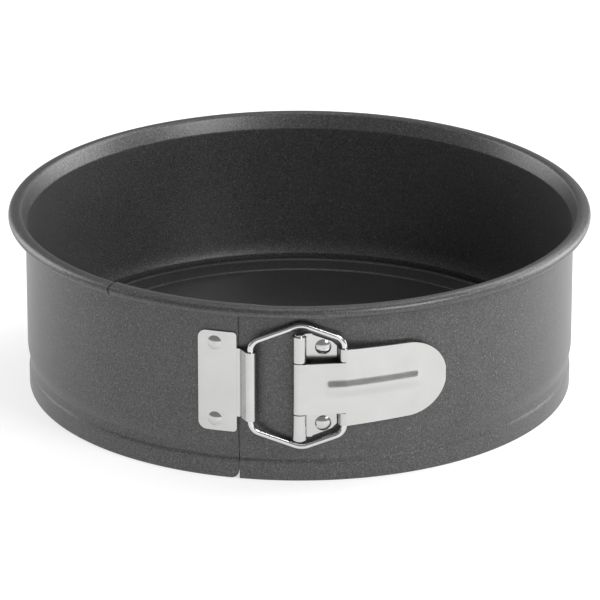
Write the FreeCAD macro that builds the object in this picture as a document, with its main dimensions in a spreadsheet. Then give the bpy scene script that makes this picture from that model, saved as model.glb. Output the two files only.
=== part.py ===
"""Springform cake pan: a clamped steel band round a loose base plate.

Frame: +Z up, origin at the centre of the underside, clasp at the front (-Y), millimetres.
Azimuths are measured about +Z from the front, positive towards +X (the lever's side).
"""
import FreeCAD, Part
import math
import os

Vector = FreeCAD.Vector
Rotation = FreeCAD.Rotation

doc = FreeCAD.newDocument("springform_pan")

# ---------------------------------------------------------------- driving dimensions
SIZES = [
    ("pan_height", 77.5),
    ("rim_outer_radius", 122.4),
    ("wall_radius", 115.2),          # outer face of the wall
    ("skirt_radius", 114.7),         # outer face of the skirt below the groove
    ("strip_thickness", 0.6),
    ("hem_bend", 0.45),              # folded lower edge: bend radius and flat run
    ("hem_flat", 0.4),
    ("skirt_top", 7.0),              # where the skirt starts to lean inward
    ("crease_height", 12.3),         # where the wall meets the skirt's bead
    ("layer_gap", 0.3),              # between the two layers where the band overlaps
    ("ledge_height", 7.2),           # middle of the ledge that carries the base
    ("ledge_radius", 110.9),
    ("neck_start", 70.4),            # where the wall starts to flare out to the rim
    ("rim_roll_radius", 1.85),
    ("tongue_bottom", 18.6),         # lower edge of the inner layer where it is covered
    ("cover_top", 71.2),             # upper edge of the outer layer under the inner one's rim
    ("overlap_start", -39.0),        # azimuth of the inner layer's end
    ("overlap_end", -12.4),          # azimuth of the outer layer's free end
    ("joggle_start", -10.0),
    ("joggle_end", -5.0),
    ("clasp_height", 42.5),
    ("plate_thickness", 0.8),
    ("strike_height", 43.0),
    ("strike_left", -20.6),          # azimuths of the strike plate's ends
    ("strike_right", -12.6),
    ("curl_height", 29.5),
    ("wire_radius", 1.33),
    ("loop_left", -19.6),
    ("loop_right", 18.0),
    ("loop_plane", 116.9),           # distance of the loop's plane from the pan's axis
    ("loop_corner", 18.9),           # heights of the loop's corners above its middle
    ("loop_apex", 26.6),
    ("pin_offset", 118.6),           # distance of the hinge pin from the pan's axis
    ("pin_radius", 1.95),
    ("pin_clearance", 0.05),
    ("pin_length", 46.4),
    ("knuckle_sheet", 0.9),
    ("hinge_reach", 15.0),           # right edge of the hinge plate
    ("hinge_knuckle_top", 22.3),
    ("tongue_height", 21.7),         # the lever's middle knuckle and tongue
    ("lever_height", 32.8),
    ("lever_reach", 59.2),
    ("rib_width", 5.3),
    ("rib_rise", 0.9),
    ("rivet_spacing", 33.0),
    ("strike_rivet_azimuth", -17.1),
    ("hinge_rivet_azimuth", 4.7),
    ("shank_radius", 1.5),
    ("strike_head_radius", 3.0),
    ("hinge_head_radius", 3.3),
    ("head_rise", 1.1),
    ("base_radius", 113.0),
    ("base_thickness", 0.8),
    ("base_floor", 8.2),             # top of the floor
    ("base_step_radius", 103.0),
]
sheet = doc.addObject("Spreadsheet::Sheet", "Sizes")
for row, (alias, value) in enumerate(SIZES, start=1):
    sheet.set(f"A{row}", alias)
    sheet.set(f"B{row}", str(value))
    sheet.setAlias(f"B{row}", alias)
doc.recompute()


def size(alias):
    """Value of one driving dimension."""
    return float(getattr(sheet, alias))


# ---------------------------------------------------------------- outlines of bent strip
class Walk:
    """Middle line of a bent strip, kept as two offset edges per step."""

    def __init__(self, x, y, heading, thickness):
        self.x = x
        self.y = y
        self.heading = math.radians(heading)
        self.half = thickness / 2
        self.left = []
        self.right = []

    def side_point(self, side, x=None, y=None, heading=None):
        """Point on the left (+1) or right (-1) face at the present place or a given one."""
        x = self.x if x is None else x
        y = self.y if y is None else y
        heading = self.heading if heading is None else heading
        return Vector(x - side * self.half * math.sin(heading), y + side * self.half * math.cos(heading), 0)

    def run(self, length):
        starts = [self.side_point(side) for side in (1, -1)]
        self.x += length * math.cos(self.heading)
        self.y += length * math.sin(self.heading)
        for edges, side, start in zip((self.left, self.right), (1, -1), starts):
            edges.append(Part.LineSegment(start, self.side_point(side)))
        return self

    def bend(self, radius, degrees):
        """Turn left (positive) or right (negative) round an arc of the middle line."""
        turn = math.radians(degrees)
        sign = 1 if turn > 0 else -1
        centre_x = self.x - sign * radius * math.sin(self.heading)
        centre_y = self.y + sign * radius * math.cos(self.heading)
        stations = []
        for share in (0, 0.5, 1):
            heading = self.heading + turn * share
            x = centre_x + sign * radius * math.sin(heading)
            y = centre_y - sign * radius * math.cos(heading)
            stations.append((x, y, heading))
        for edges, side in ((self.left, 1), (self.right, -1)):
            points = [self.side_point(side, *station) for station in stations]
            edges.append(Part.Arc(*points))
        self.x, self.y, self.heading = stations[-1]
        return self

    def outline(self):
        """Closed outline: left face, end cap, right face back, start cap."""
        start_cap = Part.LineSegment(self.right[0].StartPoint, self.left[0].StartPoint)
        end_cap = Part.LineSegment(self.left[-1].EndPoint, self.right[-1].EndPoint)
        return self.left + [end_cap] + self.right[::-1] + [start_cap]


def bend_shift(radius, heading, degrees):
    """Sideways (x) travel of an arc that starts at the given heading."""
    first = math.radians(heading)
    last = math.radians(heading + degrees)
    sign = 1 if degrees > 0 else -1
    return sign * radius * (math.sin(last) - math.sin(first))


# ---------------------------------------------------------------- document helpers
def origin_feature(body, role):
    return next(item for item in body.Origin.OriginFeatures if item.Role == role)


def new_body(label):
    body = doc.addObject("PartDesign::Body", label)
    body.Label = label
    return body


def add_sketch(body, name, edges, role="XY_Plane", turn=None):
    """Sketch on one of the body's origin planes, turned about its normal where given."""
    sketch = body.newObject("Sketcher::SketchObject", name)
    sketch.AttachmentSupport = [(origin_feature(body, role), "")]
    sketch.MapMode = "FlatFace"
    if turn is not None:
        sketch.AttachmentOffset = FreeCAD.Placement(Vector(), turn)
    sketch.addGeometry(edges, False)
    return sketch


def add_feature(body, kind, name, sketch, **settings):
    feature = body.newObject("PartDesign::" + kind, name)
    feature.Profile = sketch
    for key, value in settings.items():
        setattr(feature, key, value)
    doc.recompute()
    return feature


def upright(azimuth):
    """Turn of an XZ sketch so that its +X points outward at the given azimuth."""
    return Rotation(Vector(0, 1, 0), azimuth - 90)


# ---------------------------------------------------------------- the band
SHOULDER_TURN = 22          # inward lean at the top of the skirt's bead
SHOULDER_BENDS = (4.0, 3.0)
SHOULDER_RUN = 0.3
CREASE_LEAN = 4             # inward lean left between the bead and the crease
CREASE_BEND = 0.8
FLARE = 20                  # outward lean of the wall's foot, curving up into the wall
NECK_BEND = 2.0             # the wall's top leans outward up to the rim
NECK_TURN = 20
RIM_CORNER = 1.6
RIM_RISE = 4                # lean of the rim's inner part, outward and up
RIM_CROWN = 5.0
RIM_CROWN_TURN = -30
RIM_EDGE_GAP = 2.2          # from the wall below the neck out to the rolled edge
CROWN_ALLOWANCE = 0.12      # the crown stands this far above the rim's corner
END_GAP = 0.2               # degrees between the two halves where they meet in front
RIM_GAP = 0.3               # degrees between the ends of the two rims
BACK_GAP = 0.08             # degrees from the back to each half


def band_profile(wall_radius, with_rim=True, with_hem=True):
    """Section of the band (x = radius, y = height) for a wall of this outer radius."""
    thickness = size("strip_thickness")
    wall = wall_radius - thickness / 2
    skirt = size("skirt_radius") - thickness / 2
    hem_bend = size("hem_bend")
    hem = skirt - 2 * hem_bend - size("hem_flat")
    if with_hem:
        walk = Walk(size("ledge_radius"), size("ledge_height"), 0, thickness)
        walk.run(hem - hem_bend - walk.x)
        walk.bend(hem_bend, -90)
        walk.run(walk.y - hem_bend - thickness / 2)
        walk.bend(hem_bend, 90)
        walk.run(size("hem_flat"))
        walk.bend(hem_bend, 90)
        walk.run(size("skirt_top") - walk.y)
        walk.bend(SHOULDER_BENDS[0], SHOULDER_TURN)
        walk.run(SHOULDER_RUN)
        walk.bend(SHOULDER_BENDS[1], CREASE_LEAN - SHOULDER_TURN)
        walk.run(size("crease_height") - walk.y)
        walk.bend(CREASE_BEND, -CREASE_LEAN - FLARE)
        walk.bend((wall - walk.x) / (1 - math.cos(math.radians(FLARE))), FLARE)
    else:
        walk = Walk(wall, size("tongue_bottom"), 90, thickness)
    walk.run(size("neck_start") - walk.y)
    walk.bend(NECK_BEND, -NECK_TURN)
    lean = math.radians(90 - NECK_TURN)
    walk.run((size("cover_top") - walk.y) / math.sin(lean))
    if not with_rim:
        return walk.outline()
    roll = size("rim_roll_radius")
    crest = size("pan_height") - thickness / 2 - CROWN_ALLOWANCE
    corner_rise = RIM_CORNER * (math.cos(math.radians(RIM_RISE)) - math.cos(lean))
    walk.run((crest - corner_rise - walk.y) / math.sin(lean))
    walk.bend(RIM_CORNER, RIM_RISE - 90 + NECK_TURN)
    reach = size("rim_outer_radius") - thickness / 2 - walk.x
    roll_reach = roll * (1 + math.sin(math.radians(RIM_RISE + RIM_CROWN_TURN)))
    walk.run(reach - bend_shift(RIM_CROWN, RIM_RISE, RIM_CROWN_TURN) - roll_reach)
    walk.bend(RIM_CROWN, RIM_CROWN_TURN)
    walk.bend(roll, -180 - RIM_RISE - RIM_CROWN_TURN)
    walk.run(walk.x - wall_radius - RIM_EDGE_GAP)
    return walk.outline()


def ring_sector(body, name, outline, first, last):
    """Revolve a section about the pan's axis from one azimuth to another."""
    sketch = add_sketch(body, name + "_section", outline, "XZ_Plane", turn=upright(first))
    return add_feature(body, "Revolution", name, sketch, ReferenceAxis=(sketch, ["V_Axis"]), Angle=last - first)


def inner_wall_radius():
    """Outer radius of the layer that lies inside the other one."""
    return size("wall_radius") - size("strip_thickness") - size("layer_gap")


def build_band_right():
    body = new_body("band_right_strip")
    full = band_profile(size("wall_radius"))
    flattened = band_profile(inner_wall_radius())
    start = size("overlap_end") + END_GAP
    ring_sector(body, "right_half", full, size("joggle_end"), 180 - BACK_GAP)
    wide = add_sketch(body, "joggle_end_section", full, "XZ_Plane", turn=upright(size("joggle_end")))
    narrow = add_sketch(body, "joggle_start_section", flattened, "XZ_Plane", turn=upright(size("joggle_start")))
    add_feature(body, "AdditiveLoft", "joggle", wide, Sections=[narrow], Ruled=True)
    ring_sector(body, "flattened_end", flattened, start, size("joggle_start"))
    tongue = band_profile(inner_wall_radius(), with_hem=False)
    ring_sector(body, "inner_layer", tongue, size("overlap_start"), start)
    return body


def build_band_left():
    body = new_body("band_left_strip")
    wall = size("wall_radius")
    rim_end = size("overlap_start") - RIM_GAP
    ring_sector(body, "left_half", band_profile(wall), BACK_GAP - 180, rim_end)
    ring_sector(body, "outer_layer", band_profile(wall, with_rim=False), rim_end, size("overlap_end"))
    return body


# ---------------------------------------------------------------- cutters and small shapes
PRISM_REACH = 15.0          # cutters through the front wall start this far in front of it
PRISM_DEPTH = 40.0
HOLE_LENGTH = 12.0          # rivet holes, centred on the wall


def on_front(height=0.0):
    """Point on the pan's axis, at a height above the clasp's middle."""
    return Vector(0, 0, size("clasp_height") + height)


def add_shape(name, shape):
    feature = doc.addObject("Part::Feature", name)
    feature.Shape = shape
    return feature


def front_prism(name, points, middle=None):
    """Prism along Y through the front wall: points are (x, height above the middle)."""
    level = on_front() if middle is None else Vector(0, 0, middle)
    front = -size("wall_radius") - PRISM_REACH
    corners = [Vector(x, front, z) + level for x, z in points]
    face = Part.Face(Part.makePolygon(corners + corners[:1]))
    return add_shape(name, face.extrude(Vector(0, PRISM_DEPTH, 0)))


def arc_points(x, z, radius, first, last, steps=8):
    """Points on an arc of a flat outline."""
    angles = [math.radians(first + (last - first) * step / steps) for step in range(steps + 1)]
    return [(x + radius * math.cos(angle), z + radius * math.sin(angle)) for angle in angles]


def rounded_box_points(left, right, half_height, left_radius, right_radius):
    """Rectangle with rounded corners, half_height above and below zero."""
    corners = [
        (left + left_radius, half_height - left_radius, left_radius, 180, 90),
        (right - right_radius, half_height - right_radius, right_radius, 90, 0),
        (right - right_radius, right_radius - half_height, right_radius, 0, -90),
        (left + left_radius, left_radius - half_height, left_radius, -90, -180),
    ]
    return [point for corner in corners for point in arc_points(*corner)]


def mirrored(points):
    """Outline given from left to right above zero, closed by its mirror image below."""
    return points + [(x, -z) for x, z in reversed(points)]


def cut(name, base, tool):
    result = doc.addObject("Part::Cut", name)
    result.Base = base
    result.Tool = tool
    return result


def common(name, base, tool):
    result = doc.addObject("Part::Common", name)
    result.Base = base
    result.Tool = tool
    return result


def fuse(name, shapes):
    result = doc.addObject("Part::MultiFuse", name)
    result.Shapes = shapes
    return result


def wall_shell(name, thickness, height):
    """Ring on the outside of the wall, centred on the clasp; both sizes are sheet expressions."""
    rings = []
    for label, radius in (("outer", f"Sizes.wall_radius + {thickness}"), ("inner", "Sizes.wall_radius")):
        cylinder = doc.addObject("Part::Cylinder", f"{name}_{label}")
        cylinder.setExpression("Radius", radius)
        cylinder.setExpression("Height", height)
        cylinder.setExpression(".Placement.Base.z", f"Sizes.clasp_height - ({height}) / 2")
        rings.append(cylinder)
    return cut(name, *rings)


def extruded_strip(name, walk, low, high):
    """One bent strip in plan, extruded between two heights about the clasp's middle."""
    wire = Part.Wire(Part.sortEdges([edge.toShape() for edge in walk.outline()])[0])
    solid = Part.Face(wire).extrude(Vector(0, 0, high - low))
    solid.translate(on_front(low))
    return add_shape(name, solid)


def outward(azimuth):
    angle = math.radians(azimuth)
    return Vector(math.sin(angle), -math.cos(angle), 0)


def rivet_ends():
    """Name and height above the clasp's middle of each rivet of a pair."""
    half = size("rivet_spacing") / 2
    return (("upper", half), ("lower", -half))


def rivet_holes(name, azimuth):
    """The pair of holes that two rivets share with the wall and their plate."""
    holes = []
    for end, height in rivet_ends():
        hole = doc.addObject("Part::Cylinder", f"{name}_{end}")
        hole.setExpression("Radius", "Sizes.shank_radius")
        hole.Height = HOLE_LENGTH
        start = outward(azimuth) * (size("wall_radius") - HOLE_LENGTH / 2) + on_front(height)
        hole.Placement = FreeCAD.Placement(start, Rotation(Vector(0, 0, 1), outward(azimuth)))
        holes.append(hole)
    return fuse(name, holes)


def wrap_start(centre, radius, angle):
    """Start point and heading of an anticlockwise wrap round a centre."""
    turn = math.radians(angle)
    return centre[0] + radius * math.cos(turn), centre[1] + radius * math.sin(turn), angle + 90


# ---------------------------------------------------------------- band, with its holes
def finish_band(strip, label, holes, extra=()):
    tools = fuse(f"{label}_cutters", [holes, *extra]) if extra else holes
    result = cut(f"{label}_drilled", strip, tools)
    result.Label = label
    return result


FREE_CORNER_RADIUS = 3.3


def free_end_corner():
    """Waste outside the rounded lower corner of the outer layer's free end."""
    radius = FREE_CORNER_RADIUS
    edge = size("wall_radius") * outward(size("overlap_end")).x
    middle_x = edge - radius
    arc = arc_points(middle_x, radius, radius, -90, 0)
    points = [(middle_x, -1), *arc, (edge + 1, radius), (edge + 1, -1)]
    return front_prism("free_end_waste", points, middle=0)


# ---------------------------------------------------------------- strike plate
STRIKE_CORNERS = (3.4, 1.5)     # outer and inner corner radii
CURL_GAP = 0.1                  # between the wire and the curl
CURL_START = 110                # angle round the wire where the curl's edge is
CURL_END = -62                  # heading in which the strip leaves the wire, reversed
CURL_LANDING = -13              # heading of the strip where it lands on the leaf, reversed
CURL_FOOT_BEND = 1.2
CURL_FOOT_RUN = 2.0
CURL_FOOT_RISE = 0.35           # height of the foot's bend above the leaf's middle


def reach_to_circle(walk, radius):
    """Length of straight run from the walk's place to a circle round the pan's axis."""
    along = walk.x * math.cos(walk.heading) + walk.y * math.sin(walk.heading)
    return -along - math.sqrt(along ** 2 - walk.x ** 2 - walk.y ** 2 + radius ** 2)


def build_strike_plate(holes):
    """Leaf riveted to the wall, with a curl that holds the loop's wire."""
    thickness = size("plate_thickness")
    reach = size("wall_radius") + thickness
    left = reach * outward(size("strike_left")).x
    right = reach * outward(size("strike_right")).x
    shell = wall_shell("strike_shell", "Sizes.plate_thickness", "Sizes.strike_height")
    outline = rounded_box_points(left, right, size("strike_height") / 2, *STRIKE_CORNERS)
    leaf = common("strike_leaf", shell, front_prism("strike_window", outline))
    # The curl starts behind the wire, goes round its right and front, and lands on the leaf.
    middle = size("wire_radius") + CURL_GAP + thickness / 2
    wire = (size("loop_left"), -size("loop_plane"))
    x, y, heading = wrap_start(wire, middle, CURL_START)
    walk = Walk(x, y, heading - 180, thickness)
    walk.bend(middle, CURL_END - CURL_START - 90)
    walk.run(reach_to_circle(walk, size("wall_radius") + thickness / 2 + CURL_FOOT_RISE))
    walk.bend(CURL_FOOT_BEND, CURL_LANDING - CURL_END)
    walk.run(CURL_FOOT_RUN)
    half = size("curl_height") / 2
    curl = extruded_strip("strike_curl", walk, -half, half)
    wall = doc.addObject("Part::Cylinder", "strike_wall")
    wall.setExpression("Radius", "Sizes.wall_radius")
    wall.setExpression("Height", "Sizes.pan_height")
    blank = fuse("strike_plate_blank", [leaf, curl])
    result = cut("strike_plate_drilled", blank, fuse("strike_waste", [holes, wall]))
    result.Label = "strike_plate"
    return result


# ---------------------------------------------------------------- hinge plate and pin
KNUCKLE_GAP = 0.55              # between the hinge's knuckles and the lever's
KNUCKLE_RIGHT = 4.0             # right edge of the knuckles' leads, and where they start
LEAF_LEFT = 3.7
LEAD_LEFT = 1.2
LEAF_SHOULDER = (13.0, 18.8)    # corners of the leaf's sloping outer edge
LEAF_CORNER_HEIGHT = 16.8
KNUCKLE_START = 97              # angle round the pin where each knuckle's wrap begins
KNUCKLE_WRAP = 262
KNUCKLE_LEAD = 5.4
PIN_CHAMFER = 0.35


def pin_centre():
    return 0.0, -size("pin_offset")


def knuckle_middle():
    return size("pin_radius") + size("pin_clearance") + size("knuckle_sheet") / 2


def build_hinge_plate(holes):
    top = size("hinge_knuckle_top")
    right = size("hinge_reach")
    inner_top = size("tongue_height") / 2 + KNUCKLE_GAP
    shell = wall_shell("hinge_shell", "Sizes.knuckle_sheet", "2 * Sizes.hinge_knuckle_top")
    upper = [(LEAF_LEFT, inner_top), (LEAD_LEFT, inner_top), (LEAD_LEFT, top), (KNUCKLE_RIGHT, top),
             LEAF_SHOULDER, (right, LEAF_CORNER_HEIGHT)]
    window = front_prism("hinge_window", mirrored(upper))
    pieces = [common("hinge_leaf", shell, window)]
    middle = knuckle_middle()
    x, y, heading = wrap_start(pin_centre(), middle, KNUCKLE_START)
    lead = KNUCKLE_LEAD
    for end, low, high in (("upper", inner_top, top), ("lower", -top, -inner_top)):
        angle = math.radians(heading)
        walk = Walk(x - lead * math.cos(angle), y - lead * math.sin(angle), heading, size("knuckle_sheet"))
        walk.run(lead)
        walk.bend(middle, KNUCKLE_WRAP)
        pieces.append(extruded_strip(f"hinge_knuckle_{end}", walk, low, high))
    result = cut("hinge_plate_drilled", fuse("hinge_plate_blank", pieces), holes)
    result.Label = "hinge_plate"
    return result


def build_hinge_pin():
    pin = doc.addObject("Part::Cylinder", "pin_rod")
    pin.setExpression("Radius", "Sizes.pin_radius")
    pin.setExpression("Height", "Sizes.pin_length")
    pin.Placement.Base = Vector(*pin_centre(), 0)
    pin.setExpression(".Placement.Base.z", "Sizes.clasp_height - Sizes.pin_length / 2")
    doc.recompute()
    ends = doc.addObject("Part::Chamfer", "hinge_pin_chamfered")
    ends.Base = pin
    ends.Edges = [(index + 1, PIN_CHAMFER, PIN_CHAMFER) for index, edge in enumerate(pin.Shape.Edges)
                  if len(edge.Vertexes) == 1]
    ends.Label = "hinge_pin"
    return ends


# ---------------------------------------------------------------- rivets
TAIL_RADIUS = 2.4               # formed head inside the wall
TAIL_THICKNESS = 0.45
TAIL_GAP = 0.05                 # between that head and the wall


def build_rivet(label, azimuth, height, plate, head_radius, inner_head):
    """Domed rivet along its own +Z, set through the wall and one plate."""
    body = new_body(label)
    shank = size("shank_radius")
    rise = size("head_rise")
    seat = size("wall_radius") + plate
    tail = size("wall_radius") - size("strip_thickness")
    dome_radius = (head_radius ** 2 + rise ** 2) / (2 * rise)
    half_angle = math.asin(head_radius / dome_radius) / 2
    shoulder = Vector(dome_radius * math.sin(half_angle),
                      seat + rise - dome_radius * (1 - math.cos(half_angle)), 0)
    corners = [(0, seat + rise), (0, tail), (shank, tail), (shank, seat), (head_radius, seat)]
    if inner_head:
        top = tail - TAIL_GAP
        bottom = top - TAIL_THICKNESS
        corners[1:3] = [(0, bottom), (TAIL_RADIUS, bottom), (TAIL_RADIUS, top), (shank, top)]
    points = [Vector(x, y, 0) for x, y in corners]
    edges = [Part.LineSegment(a, b) for a, b in zip(points, points[1:])]
    edges.append(Part.Arc(points[-1], shoulder, points[0]))
    sketch = add_sketch(body, f"{label}_section", edges, "XZ_Plane")
    add_feature(body, "Revolution", f"{label}_turned", sketch, ReferenceAxis=(sketch, ["V_Axis"]), Angle=360)
    body.Placement = FreeCAD.Placement(on_front(height), Rotation(Vector(0, 0, 1), outward(azimuth)))
    return body


def build_rivets(name, azimuth, plate, head_radius, inner_head):
    return [build_rivet(f"{name}_{end}", azimuth, height, plate, head_radius, inner_head)
            for end, height in rivet_ends()]


# ---------------------------------------------------------------- lever
TONGUE_SLOPE = 7
BLADE_BEND = 11
BLADE_CURVE = 10.5
BLADE_RADIUS = 262
NECK_MARGIN = 0.6               # the blade's full height starts this far beyond the wire
BLADE_NECK_BEND = 6.0           # bend between the tongue and the blade
LEVER_WRAP_START = 28           # angle round the pin where the tongue's wrap begins
EAR_WRAP_START = 55             # angle round the wire where the ears' wrap begins
EAR_GAP = 0.35                  # between the tongue's edges and the ears
EAR_RUN = 2.6
WIRE_GAP = 0.07                 # between the ears and the wire
BLADE_TAPER = 0.6               # drop of the blade's edges from the neck to the tip
RIB_START = 10.2
RIB_CURVE = 0.74                # share of the blade's curve that the rib follows
RIB_END_MARGIN = 0.6
RIB_END_FLAT = 0.05             # half height of the flat left at each round end


def blade_walk(offset=0.0, start=None):
    """Middle line of the lever's sheet in plan, or a line offset outward from it."""
    thickness = size("knuckle_sheet")
    middle = knuckle_middle()
    if start is None:
        walk = Walk(*wrap_start(pin_centre(), middle, LEVER_WRAP_START), thickness)
        walk.bend(middle, 270 - LEVER_WRAP_START + TONGUE_SLOPE)
    else:
        slope = math.radians(TONGUE_SLOPE)
        front_x = (middle + offset) * math.sin(slope)
        front_y = -size("pin_offset") - (middle + offset) * math.cos(slope)
        walk = Walk(start, front_y + (start - front_x) * math.tan(slope), TONGUE_SLOPE, thickness)
    walk.run((size("loop_right") - walk.x) / math.cos(math.radians(TONGUE_SLOPE)))
    walk.bend(BLADE_NECK_BEND + offset, BLADE_BEND)
    return walk


def build_lever():
    half = size("lever_height") / 2
    tongue = size("tongue_height") / 2
    reach = size("lever_reach")
    neck = size("loop_right") + NECK_MARGIN
    walk = blade_walk()
    walk.bend(BLADE_RADIUS, BLADE_CURVE)
    blade = extruded_strip("lever_blade", walk, -half, half)
    tip_radius = half - BLADE_TAPER
    tip = arc_points(reach - tip_radius, 0, tip_radius, 90, 0, 14)
    behind_pin = -2 * knuckle_middle()
    upper = [(behind_pin, tongue), (neck, tongue), (neck, half), *tip]
    outline = front_prism("lever_window", mirrored(upper))
    pieces = [common("lever_sheet", blade, outline)]

    middle = size("wire_radius") + WIRE_GAP + size("knuckle_sheet") / 2
    wire = (size("loop_right"), -size("loop_plane"))
    slope = TONGUE_SLOPE + BLADE_BEND
    low_edge = tongue + EAR_GAP
    for end, low, high in (("upper", low_edge, half), ("lower", -half, -low_edge)):
        walk = Walk(*wrap_start(wire, middle, EAR_WRAP_START), size("knuckle_sheet"))
        walk.bend(middle, 270 - EAR_WRAP_START + slope)
        walk.run(EAR_RUN)
        pieces.append(extruded_strip(f"lever_ear_{end}", walk, low, high))

    rise = size("rib_rise")
    walk = blade_walk(offset=rise, start=RIB_START)
    walk.bend(BLADE_RADIUS + rise, BLADE_CURVE * RIB_CURVE)
    rib_half = size("rib_width") / 2
    bar = extruded_strip("rib_bar", walk, -rib_half, rib_half)
    end_radius = rib_half - RIB_END_FLAT
    left = RIB_START + RIB_END_FLAT
    right = walk.x - RIB_END_MARGIN
    outline = rounded_box_points(left, right, rib_half, end_radius, end_radius)
    window = front_prism("rib_window", outline)
    pieces.append(common("lever_rib", bar, window))
    result = fuse("lever_joined", pieces)
    result.Label = "lever"
    return result


# ---------------------------------------------------------------- wire loop
LOOP_BENDS = (5.0, 8.0, 5.0)    # wire bends at the left, the apex and the right
LOOP_APEX_X = 0.8
LOOP_RIGHT_RISE = 1.3           # the right corners stand this much further from the middle


def build_wire_loop():
    """Six-sided loop of round wire in a plane square to Y."""
    left = size("loop_left")
    right = size("loop_right")
    corner = size("loop_corner")
    apex = size("loop_apex")
    plane = -size("loop_plane")
    places = [(left, corner), (LOOP_APEX_X, apex), (right, corner + LOOP_RIGHT_RISE)]
    upper = [(*place, bend) for place, bend in zip(places, LOOP_BENDS)]
    corners = upper + [(x, -z, radius) for x, z, radius in reversed(upper)]
    places = [Vector(x, plane, z) + on_front() for x, z, _ in corners]
    radii = [radius for _, _, radius in corners]
    arcs = []
    for index, (place, radius) in enumerate(zip(places, radii)):
        before = (places[index - 1] - place).normalize()
        after = (places[(index + 1) % len(places)] - place).normalize()
        half_angle = before.getAngle(after) / 2
        back = radius / math.tan(half_angle)
        inward = (before + after).normalize()
        centre = place + inward * (radius / math.sin(half_angle))
        arcs.append((place + before * back, centre - inward * radius, place + after * back))
    edges = []
    for (start, middle, end), following in zip(arcs, arcs[1:] + arcs[:1]):
        edges.append(Part.Arc(start, middle, end).toShape())
        edges.append(Part.LineSegment(end, following[0]).toShape())
    path = add_shape("loop_path", Part.Wire(edges))
    section = doc.addObject("Part::Circle", "loop_section")
    section.setExpression("Radius", "Sizes.wire_radius")
    first = arcs[0]
    tangent = arcs[0][0] - arcs[-1][2]
    section.Placement = FreeCAD.Placement(first[0], Rotation(Vector(0, 0, 1), tangent))
    loop = doc.addObject("Part::Sweep", "loop_swept")
    loop.Sections = [section]
    loop.Spine = (path, [f"Edge{index + 1}" for index in range(len(edges))])
    loop.Solid = True
    loop.Frenet = True
    loop.Label = "wire_loop"
    return loop


# ---------------------------------------------------------------- base plate
BASE_SLOPE = 12                 # rise of the base's border
BASE_STEP_SLOPE = 40            # rise of the step round the floor and of the rim's inner flank
BASE_STEP_BEND = 0.8
BASE_STEP_RUN = 0.4
BASE_CROWN = 1.0
BASE_CLEARANCE = 0.02           # between the base's edge and the band's ledge


def build_base_plate():
    body = new_body("base_plate")
    thickness = size("base_thickness")
    edge = size("base_radius") - thickness / 2
    walk = Walk(0, size("base_floor") - thickness / 2, 0, thickness)
    walk.run(size("base_step_radius"))
    walk.bend(BASE_STEP_BEND, BASE_STEP_SLOPE)
    walk.run(BASE_STEP_RUN)
    walk.bend(BASE_STEP_BEND, BASE_SLOPE - BASE_STEP_SLOPE)
    flank = bend_shift(BASE_STEP_BEND, BASE_SLOPE, BASE_STEP_SLOPE - BASE_SLOPE)
    flank += BASE_STEP_RUN * math.cos(math.radians(BASE_STEP_SLOPE))
    flank += bend_shift(BASE_CROWN, BASE_STEP_SLOPE, -90 - BASE_STEP_SLOPE)
    walk.run((edge - walk.x - flank) / math.cos(math.radians(BASE_SLOPE)))
    walk.bend(BASE_STEP_BEND, BASE_STEP_SLOPE - BASE_SLOPE)
    walk.run(BASE_STEP_RUN)
    walk.bend(BASE_CROWN, -90 - BASE_STEP_SLOPE)
    walk.run(walk.y - size("ledge_height") - size("strip_thickness") / 2 - BASE_CLEARANCE)
    sketch = add_sketch(body, "base_section", walk.outline(), "XZ_Plane")
    add_feature(body, "Revolution", "base_turned", sketch, ReferenceAxis=(sketch, ["V_Axis"]), Angle=360)
    return body


# ---------------------------------------------------------------- assembly
strike_holes = rivet_holes("strike_holes", size("strike_rivet_azimuth"))
hinge_holes = rivet_holes("hinge_holes", size("hinge_rivet_azimuth"))
nodes = [
    finish_band(build_band_right(), "band_right", hinge_holes),
    finish_band(build_band_left(), "band_left", strike_holes, [free_end_corner()]),
    build_strike_plate(strike_holes),
    build_hinge_plate(hinge_holes),
    build_hinge_pin(),
    build_lever(),
    build_wire_loop(),
    build_base_plate(),
]
nodes += build_rivets("strike_rivet", size("strike_rivet_azimuth"), size("plate_thickness"),
                      size("strike_head_radius"), False)
nodes += build_rivets("hinge_rivet", size("hinge_rivet_azimuth"), size("knuckle_sheet"),
                      size("hinge_head_radius"), True)
doc.recompute()

# ---------------------------------------------------------------- checks and output
for item in doc.Objects:
    if "Invalid" in item.State or "Error" in item.State:
        raise RuntimeError(f"{item.Label} failed: {item.State}")
for node in nodes:
    if node.Shape.isNull() or not node.Shape.isValid() or not node.Shape.Solids:
        raise RuntimeError(f"{node.Label} has no valid solid")
os.makedirs("parts", exist_ok=True)
for node in nodes:
    node.Shape.exportStep(f"parts/{node.Label}.step")
    print(node.Label, len(node.Shape.Solids), round(node.Shape.Volume, 1))
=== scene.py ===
"""Springform pan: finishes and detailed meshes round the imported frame. Lengths are in metres."""
import math

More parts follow.
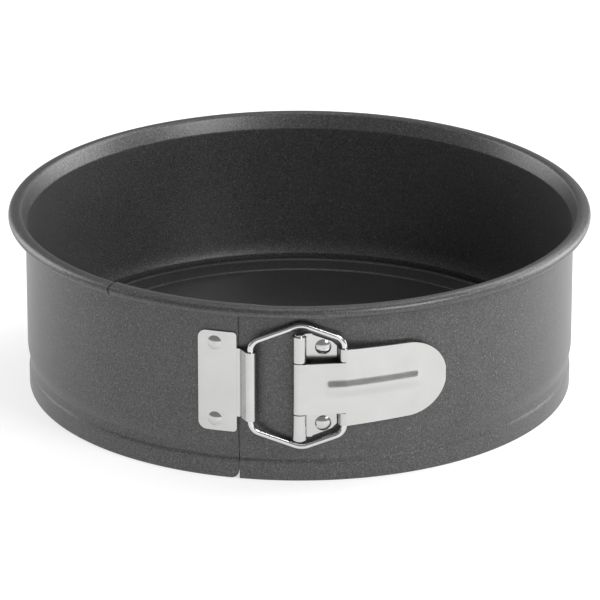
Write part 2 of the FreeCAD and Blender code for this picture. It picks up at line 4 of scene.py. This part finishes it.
import bmesh
import bpy
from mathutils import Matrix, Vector


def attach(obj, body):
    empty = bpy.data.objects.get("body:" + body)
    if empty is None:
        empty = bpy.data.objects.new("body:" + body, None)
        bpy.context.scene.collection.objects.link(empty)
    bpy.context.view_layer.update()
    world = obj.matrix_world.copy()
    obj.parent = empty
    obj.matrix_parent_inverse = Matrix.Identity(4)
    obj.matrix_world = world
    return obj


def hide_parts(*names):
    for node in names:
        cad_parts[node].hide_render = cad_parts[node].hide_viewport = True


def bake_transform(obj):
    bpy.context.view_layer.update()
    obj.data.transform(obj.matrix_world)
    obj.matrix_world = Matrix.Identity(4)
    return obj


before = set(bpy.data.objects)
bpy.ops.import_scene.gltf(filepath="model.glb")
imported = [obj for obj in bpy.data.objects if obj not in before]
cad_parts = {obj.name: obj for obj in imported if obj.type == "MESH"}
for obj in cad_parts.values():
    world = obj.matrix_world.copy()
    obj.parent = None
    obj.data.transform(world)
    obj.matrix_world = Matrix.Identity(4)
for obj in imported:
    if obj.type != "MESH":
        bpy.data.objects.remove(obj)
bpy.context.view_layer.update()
MM = 0.001

# ---------------------------------------------------------------- sizes of the band, in metres
THICKNESS = 0.6 * MM
WALL_RADIUS = 115.2 * MM
INNER_WALL_RADIUS = 114.3 * MM
SKIRT_RADIUS = 114.7 * MM
RIM_RADIUS = 122.38 * MM
PAN_HEIGHT = 77.5 * MM
LEDGE_RADIUS = 110.9 * MM
LEDGE_HEIGHT = 7.2 * MM
TONGUE_BOTTOM = 18.6 * MM
COVER_TOP = 71.2 * MM
FREE_CORNER = 3.3 * MM

# azimuths round the band in degrees, from the front and positive towards +X
OVERLAP_START = -39.0
OVERLAP_END = -12.4
JOGGLE_START = -10.0
JOGGLE_END = -5.0
END_GAP = 0.2               # between the two halves where they meet in front
RIM_GAP = 0.3               # between the ends of the two rims
FREE_END = 2.0              # stretch by the free edge with closer rows, for its round corner
BACK_BLEND = 150.0          # each side, where the springy back of the band begins
ROW_STEP = 1.0              # between the rows of a swept mesh
JOGGLE_STEP = 0.35          # and where the section changes
CORNER_STEP = 0.12
SHARP_ANGLE = 40            # edges that turn more than this are shaded sharp


# ---------------------------------------------------------------- node materials
def new_material(name, colour, metallic, roughness, **inputs):
    """Material with its uniform values on the Principled shader's own sockets."""
    material = bpy.data.materials.new(name)
    material.use_nodes = True
    shader = material.node_tree.nodes["Principled BSDF"]
    shader.inputs["Base Color"].default_value = (*colour, 1)
    shader.inputs["Metallic"].default_value = metallic
    shader.inputs["Roughness"].default_value = roughness
    for key, value in inputs.items():
        shader.inputs[key.replace("_", " ")].default_value = value
    return material


def add_node(material, kind, **values):
    """Shader node with attributes (lower case) and input values (by name with _ for spaces)."""
    node = material.node_tree.nodes.new(kind)
    for key, value in values.items():
        name = key.replace("_", " ")
        if name in node.inputs:
            node.inputs[name].default_value = value
        else:
            setattr(node, key, value)
    return node


def link(material, source, target):
    material.node_tree.links.new(source, target)


def shader_input(material, name):
    return material.node_tree.nodes["Principled BSDF"].inputs[name]


def noise(material, scale, detail=3.0, roughness=0.55, stretch=None):
    """Noise in the object's own coordinates, stretched by a scale per axis where given."""
    place = add_node(material, "ShaderNodeTexCoord")
    source = place.outputs["Object"]
    if stretch:
        mapping = add_node(material, "ShaderNodeMapping", Scale=stretch)
        link(material, source, mapping.inputs["Vector"])
        source = mapping.outputs["Vector"]
    texture = add_node(material, "ShaderNodeTexNoise", Scale=scale, Detail=detail, Roughness=roughness)
    link(material, source, texture.inputs["Vector"])
    return texture.outputs["Fac"]


def ramp(material, source, stops):
    """Colour ramp over (position, grey) stops."""
    node = add_node(material, "ShaderNodeValToRGB")
    elements = node.color_ramp.elements
    while len(elements) < len(stops):
        elements.new(0.5)
    for element, (position, colour) in zip(elements, stops):
        element.position = position
        grey = colour if isinstance(colour, tuple) else (colour,) * 3
        element.color = (*grey, 1)
    link(material, source, node.inputs["Fac"])
    return node.outputs["Color"]


def mix(material, kind, factor, first, second):
    """Blend two colours."""
    node = add_node(material, "ShaderNodeMix", data_type="RGBA", blend_type=kind)
    node.inputs["Factor"].default_value = factor
    link(material, first, node.inputs["A"])
    link(material, second, node.inputs["B"])
    return node.outputs["Result"]


def bump(material, source, strength, distance, below=None):
    node = add_node(material, "ShaderNodeBump", Strength=strength, Distance=distance)
    link(material, source, node.inputs["Height"])
    if below is not None:
        link(material, below, node.inputs["Normal"])
    return node.outputs["Normal"]


def make_coating(name, dark, bright, fleck):
    """Grey non-stick coating with a fine metallic speckle and a soft sheen."""
    material = new_material(name, (dark,) * 3, 0.55, 0.42, Coat_Weight=0.12, Coat_Roughness=0.3)
    speckle = noise(material, 1500, detail=2.0, roughness=0.75)
    cloud = noise(material, 60, detail=2.0)
    tones = [(0.32, dark * 0.75), (0.50, bright), (0.62, bright * 1.3), (0.76, fleck)]
    flecks = ramp(material, speckle, tones)
    clouds = ramp(material, cloud, [(0.3, 0.93), (0.7, 1.0)])
    colour = mix(material, "MULTIPLY", 1.0, flecks, clouds)
    link(material, colour, shader_input(material, "Base Color"))
    gloss = ramp(material, speckle, [(0.35, 0.36), (0.70, 0.48)])
    link(material, gloss, shader_input(material, "Roughness"))
    grains = bump(material, speckle, strength=0.35, distance=0.06 * MM)
    link(material, grains, shader_input(material, "Normal"))
    return material


def make_base_coating():
    """The base plate's coating: the same speckle with faint turned rings."""
    material = make_coating("base_coating", 0.045, 0.062, 0.12)
    place = add_node(material, "ShaderNodeTexCoord")
    rings = add_node(material, "ShaderNodeTexWave", wave_type="RINGS", rings_direction="Z",
                     wave_profile="SIN", Scale=95.0, Distortion=0.6, Detail=2.0)
    link(material, place.outputs["Object"], rings.inputs["Vector"])
    normal = shader_input(material, "Normal")
    speckled = normal.links[0].from_socket
    ringed = bump(material, rings.outputs["Fac"], strength=0.10, distance=0.1 * MM, below=speckled)
    link(material, ringed, normal)
    return material


def make_plated(name, colour, roughness, grain):
    """Bright plating over rolled steel: fine grain and soft cloudiness."""
    material = new_material(name, colour, 1.0, roughness)
    cloud = noise(material, 90, detail=3.0)
    fine = noise(material, 900, detail=3.0, stretch=grain)
    tones = ramp(material, cloud, [(0.25, tuple(c * 0.93 for c in colour)), (0.75, colour)])
    link(material, tones, shader_input(material, "Base Color"))
    gloss = ramp(material, fine, [(0.3, roughness * 0.8), (0.7, roughness * 1.25)])
    link(material, gloss, shader_input(material, "Roughness"))
    waves = bump(material, cloud, strength=0.05, distance=0.4 * MM)
    grains = bump(material, fine, strength=0.06, distance=0.04 * MM, below=waves)
    link(material, grains, shader_input(material, "Normal"))
    return material


coating = make_coating("nonstick_coating", 0.066, 0.090, 0.26)
base_coating = make_base_coating()
plated_sheet = make_plated("plated_sheet", (0.57, 0.57, 0.56), 0.21, (0.25, 1.0, 3.0))
plated_wire = make_plated("plated_wire", (0.66, 0.66, 0.66), 0.13, (1.0, 1.0, 1.0))
rivet_steel = make_plated("rivet_steel", (0.58, 0.58, 0.58), 0.18, (1.0, 1.0, 1.0))

NODE_MATERIALS = {
    "base_plate": base_coating,
    "strike_plate": plated_sheet,
    "hinge_plate": plated_sheet,
    "lever": plated_sheet,
    "wire_loop": plated_wire,
    "hinge_pin": plated_wire,
    "strike_rivet_upper": rivet_steel,
    "strike_rivet_lower": rivet_steel,
    "hinge_rivet_upper": rivet_steel,
    "hinge_rivet_lower": rivet_steel,
    "band_right": coating,
    "band_left": coating,
}
for node, material in NODE_MATERIALS.items():
    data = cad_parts[node].data
    data.materials.clear()
    data.materials.append(material)


# ---------------------------------------------------------------- the band's section
class Walk:
    """Middle line of a bent strip, sampled as (radius, height, heading)."""

    def __init__(self, x, y, heading):
        self.points = [(x, y, math.radians(heading))]

    @property
    def here(self):
        return self.points[-1]

    def run(self, length, steps=1):
        x, y, heading = self.here
        for step in range(1, steps + 1):
            reach = length * step / steps
            self.points.append((x + reach * math.cos(heading), y + reach * math.sin(heading), heading))

    def bend(self, radius, degrees, steps):
        x, y, heading = self.here
        turn = math.radians(degrees)
        sign = 1 if turn > 0 else -1
        for step in range(1, steps + 1):
            now = heading + turn * step / steps
            self.points.append((
                x + sign * radius * (math.sin(now) - math.sin(heading)),
                y - sign * radius * (math.cos(now) - math.cos(heading)),
                now,
            ))

    def outline(self):
        """Closed outline: the strip's two offset sides, joined straight across at both ends."""
        half = THICKNESS / 2
        left = [(x - half * math.sin(a), y + half * math.cos(a)) for x, y, a in self.points]
        right = [(x + half * math.sin(a), y - half * math.cos(a)) for x, y, a in self.points]
        return left + right[::-1]


def arc_shift(radius, heading, degrees):
    """Sideways travel of an arc that starts at the given heading."""
    sign = 1 if degrees > 0 else -1
    first = math.radians(heading)
    last = math.radians(heading + degrees)
    return sign * radius * (math.sin(last) - math.sin(first))


HEM_BEND = 0.45 * MM
HEM_FLAT = 0.4 * MM
SKIRT_TOP = 7.0 * MM
SHOULDER_TURN = 22          # inward lean at the top of the skirt's bead
SHOULDER_BENDS = (4.0 * MM, 3.0 * MM)
SHOULDER_RUN = 0.3 * MM
CREASE_HEIGHT = 12.3 * MM
CREASE_LEAN = 4             # inward lean left between the bead and the crease
CREASE_BEND = 0.8 * MM
FLARE = 20                  # outward lean of the wall's foot, curving up into the wall
NECK_START = 70.4 * MM
NECK_BEND = 2.0 * MM        # the wall's top leans outward up to the rim
NECK_TURN = 20
RIM_CORNER = 1.6 * MM
RIM_RISE = 4                # lean of the rim's inner part, outward and up
RIM_CROWN = 5.0 * MM
RIM_CROWN_TURN = -30
RIM_ROLL = 1.85 * MM
RIM_EDGE_GAP = 2.2 * MM     # from the wall below the neck out to the rolled edge
CROWN_ALLOWANCE = 0.14 * MM     # the crown's rise above the rim's corner, kept inside the CAD's box


def band_section(wall_radius, rim=True, hem=True):
    """Section of the band as (radius, height) points, from the hidden ledge up to the rolled rim."""
    wall = wall_radius - THICKNESS / 2
    if hem:
        inner = SKIRT_RADIUS - THICKNESS / 2 - 2 * HEM_BEND - HEM_FLAT
        walk = Walk(LEDGE_RADIUS, LEDGE_HEIGHT, 0)
        walk.run(inner - HEM_BEND - LEDGE_RADIUS)
        walk.bend(HEM_BEND, -90, 6)
        walk.run(walk.here[1] - HEM_BEND - THICKNESS / 2)
        walk.bend(HEM_BEND, 90, 6)
        walk.run(HEM_FLAT)
        walk.bend(HEM_BEND, 90, 6)
        walk.run(SKIRT_TOP - walk.here[1])
        walk.bend(SHOULDER_BENDS[0], SHOULDER_TURN, 8)
        walk.run(SHOULDER_RUN)
        walk.bend(SHOULDER_BENDS[1], CREASE_LEAN - SHOULDER_TURN, 6)
        walk.run(CREASE_HEIGHT - walk.here[1])
        walk.bend(CREASE_BEND, -CREASE_LEAN - FLARE, 8)
        walk.bend((wall - walk.here[0]) / (1 - math.cos(math.radians(FLARE))), FLARE, 14)
    else:
        walk = Walk(wall, TONGUE_BOTTOM, 90)
    walk.run(NECK_START - walk.here[1], 12)
    walk.bend(NECK_BEND, -NECK_TURN, 6)
    lean = math.radians(90 - NECK_TURN)
    walk.run((COVER_TOP - walk.here[1]) / math.sin(lean), 4)
    if not rim:
        return walk.outline()
    crest = PAN_HEIGHT - THICKNESS / 2 - CROWN_ALLOWANCE
    corner_rise = RIM_CORNER * (math.cos(math.radians(RIM_RISE)) - math.cos(lean))
    walk.run((crest - corner_rise - walk.here[1]) / math.sin(lean))
    walk.bend(RIM_CORNER, RIM_RISE - 90 + NECK_TURN, 8)
    reach = RIM_RADIUS - THICKNESS / 2 - walk.here[0]
    roll_reach = RIM_ROLL * (1 + math.sin(math.radians(RIM_RISE + RIM_CROWN_TURN)))
    walk.run(reach - arc_shift(RIM_CROWN, RIM_RISE, RIM_CROWN_TURN) - roll_reach)
    walk.bend(RIM_CROWN, RIM_CROWN_TURN, 8)
    walk.bend(RIM_ROLL, -180 - RIM_RISE - RIM_CROWN_TURN, 14)
    walk.run(walk.here[0] - wall_radius - RIM_EDGE_GAP)
    return walk.outline()


def smooth_step(share):
    share = min(max(share, 0.0), 1.0)
    return share * share * (3 - 2 * share)


def right_section(azimuth):
    """The right half's section: drawn in near its covered end, full from the joggle on."""
    share = smooth_step((azimuth - JOGGLE_START) / (JOGGLE_END - JOGGLE_START))
    return band_section(INNER_WALL_RADIUS + (WALL_RADIUS - INNER_WALL_RADIUS) * share)


def full_section(azimuth):
    return band_section(WALL_RADIUS)


def inner_layer_section(azimuth):
    return band_section(INNER_WALL_RADIUS, hem=False)


def outer_layer_section(azimuth):
    """The free end's section: its lower corner is rounded, so the hem lifts towards the edge."""
    from_edge = WALL_RADIUS * math.radians(OVERLAP_END - azimuth)
    into_corner = min(max(FREE_CORNER - from_edge, 0), FREE_CORNER)
    lift = FREE_CORNER - math.sqrt(FREE_CORNER ** 2 - into_corner ** 2)
    section = band_section(WALL_RADIUS, rim=False)
    return [(r, z + lift * max(1 - z / SKIRT_TOP, 0)) for r, z in section]


# ---------------------------------------------------------------- meshes
def around(radius, azimuth, height):
    """Point at an azimuth from the front, positive towards +X."""
    angle = math.radians(azimuth)
    return (radius * math.sin(angle), -radius * math.cos(angle), height)


def sweep_into(mesh, section, first, last, step=ROW_STEP):
    """Closed solid of a section swept between two azimuths, with a row of points at each step."""
    count = max(2, math.ceil((last - first) / step))
    rows = []
    for index in range(count + 1):
        azimuth = first + (last - first) * index / count
        rows.append([mesh.verts.new(around(r, azimuth, z)) for r, z in section(azimuth)])
    size = len(rows[0])
    for row, following in zip(rows, rows[1:]):
        for index in range(size):
            after = (index + 1) % size
            mesh.faces.new((row[index], row[after], following[after], following[index]))
    half = size // 2
    for row, side in ((rows[0], -1), (rows[-1], 1)):
        for index in range(half - 1):
            corners = [row[index], row[index + 1], row[size - 2 - index], row[size - 1 - index]]
            mesh.faces.new(corners if side > 0 else corners[::-1])


def finish_mesh(name, mesh, material):
    """Object from a bmesh, shaded smooth except at sharp edges."""
    bmesh.ops.recalc_face_normals(mesh, faces=mesh.faces)
    data = bpy.data.meshes.new(name)
    mesh.to_mesh(data)
    mesh.free()
    piece = bpy.data.objects.new(name, data)
    bpy.context.collection.objects.link(piece)
    data.materials.append(material)
    for polygon in data.polygons:
        polygon.use_smooth = True
    data.set_sharp_from_angle(angle=math.radians(SHARP_ANGLE))
    return piece


def build_band_piece(name, spans):
    mesh = bmesh.new()
    for span in spans:
        sweep_into(mesh, *span)
    return finish_mesh(name, mesh, coating)


right_piece = build_band_piece("band_right_shell", [
    (right_section, OVERLAP_END + END_GAP, JOGGLE_END, JOGGLE_STEP),
    (full_section, JOGGLE_END, BACK_BLEND),
    (inner_layer_section, OVERLAP_START, OVERLAP_END + END_GAP),
])
left_piece = build_band_piece("band_left_shell", [
    (full_section, -BACK_BLEND, OVERLAP_START - RIM_GAP),
    (outer_layer_section, OVERLAP_START - RIM_GAP, OVERLAP_END - FREE_END),
    (outer_layer_section, OVERLAP_END - FREE_END, OVERLAP_END, CORNER_STEP),
])
back_piece = build_band_piece("band_back_shell", [(full_section, BACK_BLEND, 360 - BACK_BLEND)])

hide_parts("band_right")
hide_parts("band_left")
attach(right_piece, "fixed_band")
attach(left_piece, "free_band")
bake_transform(back_piece)

# ---------------------------------------------------------------- the lever
SHEET = 0.9 * MM
PIN = (0.0, -118.6 * MM)
PIN_MIDDLE = 2.45 * MM              # middle of the sheet round the pin
WIRE = (18.0 * MM, -116.9 * MM)
WIRE_MIDDLE = 1.85 * MM             # middle of the sheet round the wire
LEVER_WRAP_START = 28               # angle round the pin where the tongue's wrap begins
EAR_WRAP_START = 55                 # angle round the wire where the ears' wrap begins
EAR_RUN = 2.6 * MM
TONGUE_SLOPE = 7
BLADE_NECK_BEND = 6.0 * MM          # bend between the tongue and the blade
BLADE_BEND = 11
BLADE_CURVE = 10.5
BLADE_RADIUS = 262 * MM
BLADE_TAPER = 0.6 * MM              # drop of the blade's edges from the neck to the tip
TONGUE_HALF = 10.85 * MM
LEVER_HALF = 16.4 * MM
TIP_RADIUS = LEVER_HALF - BLADE_TAPER
TIP_FLAT = 0.02 * MM                # least half height at the tip, so that its end has faces
EAR_INNER = 11.2 * MM
NECK_MARGIN = 0.6 * MM              # the blade's full height starts this far beyond the wire
LEVER_NECK = WIRE[0] + NECK_MARGIN
LEVER_REACH = 59.2 * MM
CLASP_HEIGHT = 42.5 * MM
RIB_START = 10.0 * MM
RIB_END = 49.0 * MM
RIB_FLANK = 4.4 * MM                # from the rib's middle to its upper or lower edge
RIB_END_RUN = 2.0 * MM
RIB_RISE = 0.85 * MM


def wrap_walk(centre, radius, first, last, steps):
    """Strip's middle line wrapped anticlockwise round a centre, seen from above."""
    angle = math.radians(first)
    walk = Walk(centre[0] + radius * math.cos(angle), centre[1] + radius * math.sin(angle), first + 90)
    walk.bend(radius, last - first, steps)
    return walk


def lever_walk():
    """The lever's sheet in plan, from behind the pin to the tip."""
    walk = wrap_walk(PIN, PIN_MIDDLE, LEVER_WRAP_START, 270 + TONGUE_SLOPE, 30)
    walk.run((WIRE[0] - walk.here[0]) / math.cos(math.radians(TONGUE_SLOPE)), 40)
    walk.bend(BLADE_NECK_BEND, BLADE_BEND, 8)
    walk.bend(BLADE_RADIUS, BLADE_CURVE, 110)
    return walk


def ear_walk():
    """The ears' sheet in plan, round the wire and out along the blade."""
    slope = TONGUE_SLOPE + BLADE_BEND
    walk = wrap_walk(WIRE, WIRE_MIDDLE, EAR_WRAP_START, 270 + slope, 26)
    walk.run(EAR_RUN, 3)
    return walk


def blade_half_height(x):
    """Half height of the blade's outline: slightly tapered sides and a round tip."""
    centre = LEVER_REACH - TIP_RADIUS
    if x <= centre:
        return LEVER_HALF - BLADE_TAPER * max((x - LEVER_NECK) / (centre - LEVER_NECK), 0)
    return math.sqrt(max(TIP_RADIUS ** 2 - (x - centre) ** 2, TIP_FLAT ** 2))


def rib_height(x, z):
    """Outward rise of the pressed rib: a soft dome across, steeper at both ends."""
    across = 1 - smooth_step(abs(z) / RIB_FLANK)
    along = smooth_step(min(x - RIB_START, RIB_END - x) / RIB_END_RUN)
    return RIB_RISE * across * along


def sheet_into(mesh, points, low_high, columns, raised=None):
    """Closed bent sheet: a row of columns up its height at each point of a plan line."""
    half = SHEET / 2
    grids = []
    for side in (1, -1):
        grid = []
        for x, y, heading in points:
            low, high = low_high(x)
            row = []
            for index in range(columns + 1):
                z = low + (high - low) * index / columns
                out = side * half - (raised(x, z) if raised else 0)
                row.append(mesh.verts.new((
                    x - out * math.sin(heading), y + out * math.cos(heading), CLASP_HEIGHT + z)))
            grid.append(row)
        grids.append(grid)
    inner, outer = grids
    count = len(points)
    for index in range(count - 1):
        for column in range(columns):
            for grid, order in ((inner, 1), (outer, -1)):
                corners = [grid[index][column], grid[index + 1][column],
                           grid[index + 1][column + 1], grid[index][column + 1]]
                mesh.faces.new(corners[::order])
        for column, order in ((0, -1), (columns, 1)):
            corners = [inner[index][column], inner[index + 1][column],
                       outer[index + 1][column], outer[index][column]]
            mesh.faces.new(corners[::order])
    for index, order in ((0, 1), (count - 1, -1)):
        for column in range(columns):
            corners = [inner[index][column], inner[index][column + 1],
                       outer[index][column + 1], outer[index][column]]
            mesh.faces.new(corners[::order])


def build_lever():
    """Tongue, blade and two ears, each a bent sheet."""
    mesh = bmesh.new()
    points = lever_walk().points
    tongue = [point for point in points if point[0] <= LEVER_NECK]
    blade = [point for point in points if LEVER_NECK < point[0] <= LEVER_REACH]
    sheet_into(mesh, tongue, lambda x: (-TONGUE_HALF, TONGUE_HALF), 48, rib_height)
    sheet_into(mesh, [tongue[-1]] + blade,
               lambda x: (-blade_half_height(x), blade_half_height(x)), 72, rib_height)
    for low_high in ((EAR_INNER, LEVER_HALF), (-LEVER_HALF, -EAR_INNER)):
        sheet_into(mesh, ear_walk().points, lambda x, span=low_high: span, 6)
    return finish_mesh("lever_shell", mesh, plated_sheet)


lever_piece = build_lever()
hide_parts("lever")
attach(lever_piece, "lever_arm")

# ---------------------------------------------------------------- camera
CAMERA_X = 0.21 * MM
SENSOR_WIDTH = 36                   # millimetres, as Blender's lens settings are
CAMERA_DISTANCE = 2.0
CAMERA_HEIGHT = 0.8131
CAMERA_PITCH = 0.37144              # radians below the horizontal
FOCAL_SHARE = 8.4469                # focal length over the picture's width
camera_data = bpy.data.cameras.new("camera")
camera_data.sensor_width = SENSOR_WIDTH
camera_data.lens = SENSOR_WIDTH * FOCAL_SHARE
camera_data.clip_end = 20
camera = bpy.data.objects.new("camera", camera_data)
camera.location = (CAMERA_X, -CAMERA_DISTANCE, CAMERA_HEIGHT)
camera.rotation_euler = (math.pi / 2 - CAMERA_PITCH, 0, 0)
bpy.context.collection.objects.link(camera)
bpy.context.scene.camera = camera


# ---------------------------------------------------------------- studio
PAN_MIDDLE = Vector((0, 0, 0.04))
FLOOR_HALF = 4.0
FLOOR_GREY = 0.5
FLOOR_GLOW = 0.62
WORLD_GLOW = 0.30


def add_softbox(name, place, width, height, watts):
    """Rectangular light that faces the pan's middle."""
    data = bpy.data.lights.new(name, "AREA")
    data.shape = "RECTANGLE"
    data.size = width
    data.size_y = height
    data.energy = watts
    lamp = bpy.data.objects.new(name, data)
    lamp.location = place
    lamp.rotation_euler = (PAN_MIDDLE - Vector(place)).to_track_quat("-Z", "Y").to_euler()
    bpy.context.collection.objects.link(lamp)


def build_floor():
    """Pale floor that glows a little, so that it renders white."""
    mesh = bmesh.new()
    bmesh.ops.create_grid(mesh, x_segments=1, y_segments=1, size=FLOOR_HALF)
    floor_material = new_material("studio_floor", (FLOOR_GREY,) * 3, 0.0, 0.8)
    shader_input(floor_material, "Emission Color").default_value = (1, 1, 1, 1)
    shader_input(floor_material, "Emission Strength").default_value = FLOOR_GLOW
    floor = finish_mesh("studio_floor", mesh, floor_material)


def light_world():
    """Even white light from all round."""
    world = bpy.data.worlds.new("studio_world")
    world.use_nodes = True
    background = world.node_tree.nodes["Background"]
    background.inputs["Color"].default_value = (1, 1, 1, 1)
    background.inputs["Strength"].default_value = WORLD_GLOW
    bpy.context.scene.world = world


build_floor()
light_world()
add_softbox("left_softbox", (-1.0, 0.55, 0.45), 0.8, 0.9, 9)
add_softbox("right_softbox", (1.0, 0.45, 0.45), 0.8, 0.9, 13)
add_softbox("front_right_softbox", (0.75, -0.75, 0.75), 0.5, 0.5, 8.5)
add_softbox("back_right_softbox", (0.50, 0.75, 0.95), 0.4, 0.4, 3)
add_softbox("top_softbox", (0.0, 0.2, 1.4), 0.6, 0.4, 1.8)

bpy.context.scene.view_settings.view_transform = "Standard"
